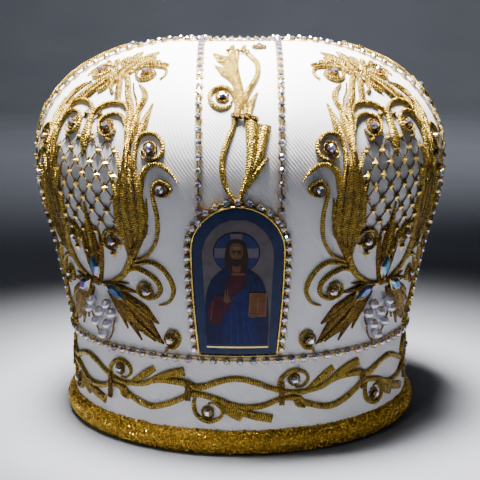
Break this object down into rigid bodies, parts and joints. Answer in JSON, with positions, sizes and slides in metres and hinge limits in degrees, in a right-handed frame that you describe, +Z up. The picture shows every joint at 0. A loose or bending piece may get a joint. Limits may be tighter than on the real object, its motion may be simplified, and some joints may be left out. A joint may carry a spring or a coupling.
{
  "type": "bishop mitre",
  "caption": "Stiff domed ceremonial hat with paneled embroidered cloth crown, arched enamel icons, rhinestone seams, lower band and padded gold rim cord.",
  "frame": {"origin": "centre of the base, on the surface the rim cord rests on", "axes": "+Z up through the top ring, -Y towards the front icon, +X to the right as seen from the front"},
  "size_m": [0.2362, 0.2362, 0.2152],
  "materials": {
    "cloth": "white satin twill",
    "gold_thread": "satin-stitched metallic gold thread",
    "gold_glitter": "knitted glitter cord",
    "gold_metal": "polished gilt metal",
    "rhinestone": "clear faceted glass with a pale rainbow coating",
    "cut_glass": "faceted glass with a deep blue and violet coating",
    "enamel": "glossy enamel",
    "pearl": "imitation pearl"
  },
  "bodies": {
    "root": {"rim_cord": "gold_glitter", "head_band": "cloth", "waist_chain": "rhinestone", "top_disc": "cloth", "top_chain": "rhinestone", "strip_front": "cloth", "seam_chain_front_left": "rhinestone", "seam_chain_front_right": "rhinestone", "icon_plate_front": "enamel", "icon_bezel_front": "gold_metal", "icon_chain_front": "rhinestone", "strip_right": "cloth", "seam_chain_right_left": "rhinestone", "seam_chain_right_right": "rhinestone", "icon_plate_right": "enamel", "icon_bezel_right": "gold_metal", "icon_chain_right": "rhinestone", "strip_back": "cloth", "seam_chain_back_left": "rhinestone", "seam_chain_back_right": "rhinestone", "icon_plate_back": "enamel", "icon_bezel_back": "gold_metal", "icon_chain_back": "rhinestone", "strip_left": "cloth", "seam_chain_left_left": "rhinestone", "seam_chain_left_right": "rhinestone", "icon_plate_left": "enamel", "icon_bezel_left": "gold_metal", "icon_chain_left": "rhinestone", "field_front_right": "cloth", "pearls_front_right": "pearl", "stone_top_front_right": "cut_glass", "stone_near_front_right": "cut_glass", "stone_far_front_right": "cut_glass", "field_back_right": "cloth", "pearls_back_right": "pearl", "stone_top_back_right": "cut_glass", "stone_near_back_right": "cut_glass", "stone_far_back_right": "cut_glass", "field_back_left": "cloth", "pearls_back_left": "pearl", "stone_top_back_left": "cut_glass", "stone_near_back_left": "cut_glass", "stone_far_back_left": "cut_glass", "field_front_left": "cloth", "pearls_front_left": "pearl", "stone_top_front_left": "cut_glass", "stone_near_front_left": "cut_glass", "stone_far_front_left": "cut_glass"}
  },
  "joints": []
}
